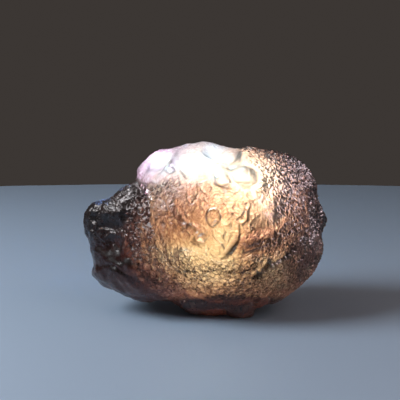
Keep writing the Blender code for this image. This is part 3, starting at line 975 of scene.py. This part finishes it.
@dataclass(frozen=True)
class Etching:
    """The small relief that runs all over the skin: pits, bubbles, grains and a low swell.

    Args:
        pits: The fields of pits and bubbles.
        grain: Width and length of the grains.
        arc: Length along the lobe for each radian away from its middle, in millimetres.
        height: How high the grains stand.
        seed: Seed of the noise that bends them.
        bend: Scale and amount of that noise.
        vigour: How strong the grains are on the whole, and the scale at which that changes.
        wall: How wide the slope of a grain is, for each unit of its size.
        unevenness: How much the bending noise lifts the grains.
        gap: How wide the painted shade in the gap between grains is, for each unit of their size.
        gap_shade: How dark that painted shade is.
        wing_grain: How strong the grains are on the wing.
        calm_grain: How strong they are on the calm part of the front.
        swell: Scale of the swell's broad waves and of its small ones.
        swell_height: How high the swell stands on the wing and the foot.
        swell_least: The share of it on the rest of the stone.
    """

    pits: tuple[PitField, ...] = (
        PitField(Zone.RINGS, 1100, (0.17, 0.34), (1.2, 2.2), 0.38, 0.3, 0.35, 0.75, 5),
        PitField(Zone.RINGS, 220, (0.36, 0.6), (1.1, 2.2), 0.2, 0.3, 0.35, 0.6, 6),
        PitField(Zone.RINGS, 16, (0.9, 1.5), (1.0, 1.5), 0.07, 0.25, 1.0, 0.1, 7),
        PitField(Zone.CALM, 900, (0.14, 0.26), (1.0, 2.0), 0.1, 0.3, 1.5, 0.4, 8),
        PitField(Zone.CALM, 220, (0.45, 1.2), (1.0, 1.25), 0.04, 0.0, 1.5, 0.8, 14, outline=0.1),
        PitField(Zone.RINGS, 120, (0.5, 1.0), (1.0, 1.4), 0.06, 0.0, 1.5, 0.8, 14, outline=0.14),
        PitField(Zone.CROWN, 120, (0.2, 0.5), (1.0, 2.2), 0.12, 0.4, 1.5, 0.4, 13),
        PitField(Zone.WING, 1800, (0.13, 0.24), (1.0, 2.2), 0.2, 0.3, 0.5, 0.6, 10),
        PitField(Zone.WING, 60, (0.5, 1.0), (1.0, 2.2), 0.16, 0.3, 0.6, 0.3, 11),
        PitField(Zone.FOOT, 400, (0.2, 0.4), (1.0, 2.4), 0.12, 0.3, 0.6, 0.3, 12),
    )
    grain: Pair = (0.48, 0.76)
    arc: float = 16.0
    height: float = 0.2
    seed: int = 5
    bend: Pair = (0.7, 0.7)
    vigour: Pair = (0.75, 0.3)
    wall: float = 0.5
    unevenness: float = 0.35
    gap: float = 0.3
    gap_shade: float = 0.85
    wing_grain: float = 0.8
    calm_grain: float = 0.3
    swell: Pair = (0.32, 0.7)
    swell_height: float = 0.4
    swell_least: float = 0.3

    def swirl(self, points: np.ndarray, middle: np.ndarray) -> np.ndarray:
        """Draw the skin's texture out along the rings around the main lobe.

        Args:
            points: The skin's points in the sketch.
            middle: The point that the rings run around.

        Returns:
            The place of each point in the texture.
        """
        out = points - middle
        arc = self.arc * np.arctan2(np.hypot(out[:, 0], out[:, 1]), out[:, 2])
        return np.column_stack([arc / self.grain[0], out[:, 0] / self.grain[1], out[:, 1] / self.grain[1]])

    def grains(self, places: np.ndarray) -> tuple[np.ndarray, np.ndarray]:
        """Raise the etched grains.

        Args:
            places: The skin's places along the rings.

        Returns:
            The height of the grains, in millimetres, and how dark the painted shade in the gaps between them
            is.
        """
        noise.seed_set(self.seed)
        scale, amount = self.bend
        warp = np.array([noise.noise_vector(Vector(place) * scale) for place in places])
        near = np.array([noise.voronoi(Vector(place))[0][:2] for place in places + amount * warp])
        strength, scale = self.vigour
        vigour = strength + np.array([noise.noise(Vector(place) * scale) for place in places])
        gap = near[:, 1] - near[:, 0]
        bump = ramp(gap, 0.0, self.wall) + self.unevenness * warp[:, 0]
        dark = self.gap_shade * vigour * (1.0 - ramp(gap, 0.0, self.gap))
        return self.height * vigour * (bump - 0.5), dark

    def strength(self, zones: dict[Zone, np.ndarray]) -> np.ndarray:
        """Return how strong the grains are at each point, from 0 to 1."""
        return zones[Zone.RINGS] + self.wing_grain * zones[Zone.WING] + self.calm_grain * zones[Zone.CALM]

    def waves(self, points: np.ndarray) -> np.ndarray:
        """Return the height of the swell at each point, in millimetres."""
        broad, small = self.swell
        return self.swell_height * np.array([
            noise.noise(Vector(point) * broad) + 0.5 * noise.noise(Vector(point) * small) for point in points
        ])


@dataclass(frozen=True)
class Stone:
    """The stone's skin: a fine mesh over the frame's solid, with every pit and groove in it.

    Args:
        name: The piece's name.
        sketch: The stone's own frame.
        where: Where each kind of skin lies.
        etching: The small relief all over it.
        relief: The features drawn on its front.
        finish: Its glass.
        voxel: Size of the fine mesh's cells, in millimetres.
        smoothing: How many passes soften the solid's facets.
        softness: How much each pass moves a point to the middle of its neighbours.
        front_share: Share of the fine mesh that the finished front keeps.
        back_share: Share of the fine mesh that the finished back keeps.
        back: A face belongs to the back where its normal turns to the viewer less than this.
        foot_flat: How high above the floor the relief begins and is full, in millimetres.
        soft_shade: How much paler the pits' painted shade is on the softest skin.
        soft_etch: How much weaker its etched texture is.
        soft_frost: How much more frosted it is.
        calm_frost: How frosted the calm part of the front is.
    """

    name: str = "tektite_skin"
    sketch: Sketch = Sketch()
    where: SkinMap = field(default_factory=SkinMap)
    etching: Etching = field(default_factory=Etching)
    relief: FrontRelief = field(default_factory=FrontRelief)
    finish: GlassFinish = GlassFinish()
    voxel: float = 0.15
    smoothing: int = 24
    softness: float = 0.5
    front_share: float = 0.49
    back_share: float = 0.2
    back: float = -0.15
    foot_flat: Pair = (0.2, 1.2)
    soft_shade: float = 0.6
    soft_etch: float = 0.65
    soft_frost: float = 0.35
    calm_frost: float = 0.35

    def copy_solid(self) -> bpy.types.Object:
        """Copy the frame's solid and merge its points.

        Returns:
            The copy, which becomes the skin.
        """
        bpy.ops.object.select_all(action="DESELECT")
        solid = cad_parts[NODE]
        skin = bpy.data.objects.new(self.name, solid.data.copy())
        bpy.context.scene.collection.objects.link(skin)
        bpy.context.view_layer.objects.active = skin
        skin.select_set(True)
        bpy.ops.object.mode_set(mode="EDIT")
        bpy.ops.mesh.select_all(action="SELECT")
        bpy.ops.mesh.remove_doubles(threshold=MERGE_DISTANCE)
        bpy.ops.object.mode_set(mode="OBJECT")
        skin.data.materials.clear()
        return skin

    def refine(self, skin: bpy.types.Object) -> None:
        """Give the skin a fine even mesh and soften the solid's facets.

        Args:
            skin: The copy of the solid.
        """
        remesh = skin.modifiers.new("fine_mesh", "REMESH")
        remesh.mode = "VOXEL"
        remesh.voxel_size = self.voxel * MM
        bpy.ops.object.modifier_apply(modifier=remesh.name)
        smooth = skin.modifiers.new("soften", "SMOOTH")
        smooth.factor = self.softness
        smooth.iterations = self.smoothing
        bpy.ops.object.modifier_apply(modifier=smooth.name)

    @staticmethod
    def vectors(items: bpy.types.bpy_prop_collection, name: str) -> np.ndarray:
        """Read one vector of each of a mesh's points or faces.

        Args:
            items: The points or faces.
            name: The vector's name.

        Returns:
            The vectors as rows.
        """
        rows = np.empty(len(items) * 3)
        items.foreach_get(name, rows)
        return rows.reshape(-1, 3)

    def read(self, co: np.ndarray, normals: np.ndarray) -> Skin:
        """Put the mesh's points into the sketch.

        Args:
            co: The points in the frame, in metres.
            normals: The normals there.

        Returns:
            The points, with what finds their neighbours.
        """
        points = self.sketch.points(co)
        tree = kdtree.KDTree(len(points))
        for index, point in enumerate(points):
            tree.insert(point, index)
        tree.balance()
        return Skin(points, self.sketch.directions(normals), tree, self.voxel ** 2)

    def etch(self, piece: bpy.types.Object) -> None:
        """Press the drawn features and the pits into the skin, and note what the finish needs.

        Args:
            piece: The skin, with its fine even mesh.
        """
        mesh = piece.data
        co = self.vectors(mesh.vertices, "co")
        normals = self.vectors(mesh.vertices, "normal")
        skin = self.read(co, normals)
        zones = self.where.zones(skin)
        middle = self.where.middle()
        darkness = self.where.darkness(skin)
        fine = np.zeros(len(co))
        shade = np.zeros(len(co))
        for pits in self.etching.pits:
            rise, dark = pits.press(skin, zones[pits.zone], middle)
            fine += rise
            shade = np.maximum(shade, dark)
        swirl = self.etching.swirl(skin.points, middle)
        rise, dark = self.etching.grains(swirl)
        strength = self.etching.strength(zones)
        fine += rise * strength
        fine += self.etching.waves(skin.points) * np.maximum(darkness, self.etching.swell_least)
        shade = np.maximum(shade, dark * strength)
        drawn, dark = self.relief.press(skin)
        shade = np.maximum(shade, dark)
        above_foot = ramp(co[:, 2] / MM, *self.foot_flat)
        co += normals * ((fine + drawn) * above_foot * MM)[:, None]
        mesh.vertices.foreach_set("co", co.ravel())
        mesh.update()
        soft = self.where.soft.cover(skin.points[:, 0], skin.points[:, 1])
        frost = zones[Zone.CROWN] + self.calm_frost * zones[Zone.CALM] + self.soft_frost * soft
        # Painted shade for the pits, grooves and gaps between grains, paler on the softest skin.
        self.note(mesh, "painted_hollow_shade", shade * (1.0 - self.soft_shade * soft))
        self.note(mesh, "etched", strength * (1.0 - self.soft_etch * soft))
        self.note(mesh, "frost", np.clip(frost, 0.0, 1.0))
        self.note(mesh, "wing", darkness)
        # The crust, with painted light in the middle and painted shade towards the edges and in patches.
        self.note(mesh, "crust_and_painted_shade", self.where.crust_and_painted_shade(skin))
        mesh.attributes.new("swirl", "FLOAT_VECTOR", "POINT").data.foreach_set("vector", swirl.ravel())

    @staticmethod
    def note(mesh: bpy.types.Mesh, name: str, values: np.ndarray) -> None:
        """Keep a value for each point under a name that the finish reads."""
        mesh.attributes.new(name, "FLOAT", "POINT").data.foreach_set("value", values)

    def thin(self, skin: bpy.types.Object) -> None:
        """Bring the skin's back and then its front down to fewer triangles.

        Args:
            skin: The etched skin.
        """
        bpy.ops.object.mode_set(mode="EDIT")
        bpy.ops.mesh.select_mode(type="FACE")
        bpy.ops.mesh.select_all(action="SELECT")
        bpy.ops.mesh.quads_convert_to_tris()
        bpy.ops.object.mode_set(mode="OBJECT")
        for is_back, share in ((True, self.back_share), (False, self.front_share)):
            facing = self.sketch.directions(self.vectors(skin.data.polygons, "normal"))
            bpy.ops.object.mode_set(mode="EDIT")
            bpy.ops.mesh.select_all(action="DESELECT")
            bpy.ops.object.mode_set(mode="OBJECT")
            skin.data.polygons.foreach_set("select", (facing[:, 2] < self.back) == is_back)
            bpy.ops.object.mode_set(mode="EDIT")
            bpy.ops.mesh.decimate(ratio=share)
            bpy.ops.object.mode_set(mode="OBJECT")

    def build(self) -> bpy.types.Object:
        """Build and dress the stone.

        Returns:
            The finished piece, which stands for the frame's solid.
        """
        skin = self.copy_solid()
        self.refine(skin)
        self.etch(skin)
        self.thin(skin)
        skin.data.shade_smooth()
        skin.data.materials.append(self.finish.build())
        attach(skin, BODY)
        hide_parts(NODE)
        return skin


@dataclass(frozen=True)
class Lamp:
    """One soft round lamp.

    Args:
        place: Where it hangs, in millimetres.
        aim: The point that it is turned to.
        size: How wide it is, in millimetres.
        power: Its power, in watts.
        colour: The colour of its light.
        hidden_from: The kinds of ray that don't see it.
    """

    place: Place
    aim: Place
    size: float
    power: float
    colour: Colour
    hidden_from: tuple[Ray, ...] = ()

    def hang(self, name: str) -> None:
        """Add the lamp to the scene.

        Args:
            name: The lamp's name.
        """
        data = bpy.data.lights.new(name, "AREA")
        data.shape = "DISK"
        data.size = self.size * MM
        data.energy = self.power
        data.color = self.colour
        lamp = bpy.data.objects.new(name, data)
        bpy.context.scene.collection.objects.link(lamp)
        start = Vector(self.place) * MM
        lamp.location = start
        lamp.rotation_euler = (Vector(self.aim) * MM - start).to_track_quat("-Z", "Y").to_euler()
        for ray in self.hidden_from:
            setattr(lamp, f"visible_{ray.value}", False)


@dataclass(frozen=True)
class Studio:
    """Floor, soft lamps and camera.

    Args:
        elevation: How far the camera looks down, in degrees, before the picture is shifted.
        distance: How far it stands from its target, in millimetres.
        lens: Its focal length, in millimetres.
        sensor: The width of its sensor, in millimetres.
        target: The point that it looks at, in millimetres.
        picture: The picture's width, in its own dots.
        beside: How many of them the target lies to the right of the picture's middle.
        below: How many it lies below.
        near: The nearest that the camera sees, in metres.
        floor_radius: The floor's radius, in metres.
        floor_sides: How many sides its edge has.
        floor_middle: Where the floor's middle lies, in metres.
        floor_colour: The floor's colour.
        floor_roughness: Its roughness.
        dusk: Colour of the dim surroundings.
        lamps: Soft lamps around the stone, and unseen ones close behind it that shine through it.
    """

    elevation: float = 12.0
    distance: float = 166.0
    lens: float = 70.0
    sensor: float = 36.0
    target: Place = (0.75, 0.0, 16.5)
    picture: float = 400.0
    beside: float = 10.0
    below: float = 35.0
    near: float = 0.01
    floor_radius: float = 0.6
    floor_sides: int = 96
    floor_middle: Place = (0.0, -0.41, 0.0)
    floor_colour: Colour = (0.5, 0.64, 0.83)
    floor_roughness: float = 0.55
    dusk: Colour = (0.045, 0.038, 0.034)
    lamps: dict[str, Lamp] = field(default_factory=lambda: {
        "key": Lamp((-230, -60, 205), (0, 0, 15), 160, 0.6, (0.92, 0.96, 1.0), (Ray.GLOSSY,)),
        "sheen": Lamp((-112, 0, 225), (-15, 0, 18), 150, 1.0, (1.0, 0.96, 0.99), (Ray.DIFFUSE,)),
        "fill": Lamp((200, -180, 200), (0, 0, 15), 260, 0.1, (1.0, 0.9, 0.84)),
        "rim": Lamp((140, -10, 130), (5, 0, 15), 60, 0.55, (1.0, 0.76, 0.82), (Ray.DIFFUSE,)),
        "crown_glow": Lamp((-1, 17, 30), (0, 0, 25), 9, 0.4, (0.23, 0.55, 1.0), tuple(Ray)),
        "body_glow": Lamp((1.5, 21, 11.5), (2.5, 0, 15), 12, 0.0043, (1.0, 0.95, 0.85), tuple(Ray)),
        "upper_glow": Lamp((5, 18.5, 20), (5, 13.5, 23.5), 9, 0.007, (0.85, 0.83, 1.0), tuple(Ray)),
        "edge_glow": Lamp((-11, 11, 31), (-9, 3, 28), 7, 1.7, (0.3, 0.46, 1.0), tuple(Ray)),
        "side_glow": Lamp((-13, 19, 12), (-13, 0, 16), 14, 0.0025, (0.9, 0.9, 1.0), tuple(Ray)),
    })

    def floor(self) -> None:
        """Lay the plain pale floor."""
        bpy.ops.object.select_all(action="DESELECT")
        bpy.ops.mesh.primitive_circle_add(vertices=self.floor_sides, radius=self.floor_radius,
                                          fill_type="NGON", location=self.floor_middle)
        plate = bpy.context.active_object
        plate.name = "floor"
        bpy.ops.object.transform_apply(location=True, rotation=False, scale=False)
        material = bpy.data.materials.new("floor_paper")
        material.use_nodes = True
        NodeKit(material.node_tree).put(material.node_tree.nodes["Principled BSDF"], {
            "Base Color": (*self.floor_colour, 1.0),
            "Roughness": self.floor_roughness,
        })
        plate.data.materials.append(material)

    def world(self) -> None:
        """Set the dim even surroundings."""
        world = bpy.data.worlds.new("studio")
        world.use_nodes = True
        background = world.node_tree.nodes["Background"]
        background.inputs["Color"].default_value = (*self.dusk, 1.0)
        background.inputs["Strength"].default_value = 1.0
        bpy.context.scene.world = world

    def camera(self) -> None:
        """Place the camera so that the stone sits right of and below the picture's middle."""
        focal = self.picture * self.lens / self.sensor
        rise = math.radians(self.elevation)
        pitch = rise - math.atan(self.below / focal)
        data = bpy.data.cameras.new("camera")
        data.lens = self.lens
        data.clip_start = self.near
        camera = bpy.data.objects.new("camera", data)
        bpy.context.scene.collection.objects.link(camera)
        x, y, z = self.target
        side = -self.beside / focal * self.distance
        camera.location = Vector((x + side, y - self.distance * math.cos(rise),
                                  z + self.distance * math.sin(rise))) * MM
        camera.rotation_euler = (math.radians(90.0) - pitch, 0.0, 0.0)
        bpy.context.scene.camera = camera

    def build(self) -> None:
        """Set up the whole studio."""
        self.floor()
        self.world()
        for name, lamp in self.lamps.items():
            lamp.hang(name)
        self.camera()
        bpy.context.scene.view_settings.view_transform = "Standard"
        bpy.context.scene.cycles.caustics_refractive = False


def main() -> None:
    """Build the stone and the studio."""
    logging.basicConfig(level=logging.INFO, format="%(message)s")
    skin = Stone().build()
    LOG.info("%s: %d faces", skin.name, len(skin.data.polygons))
    studio = Studio()
    studio.build()
    LOG.info("studio: floor, %d lamps and camera", len(studio.lamps))


if __name__ == "__main__":
    main()
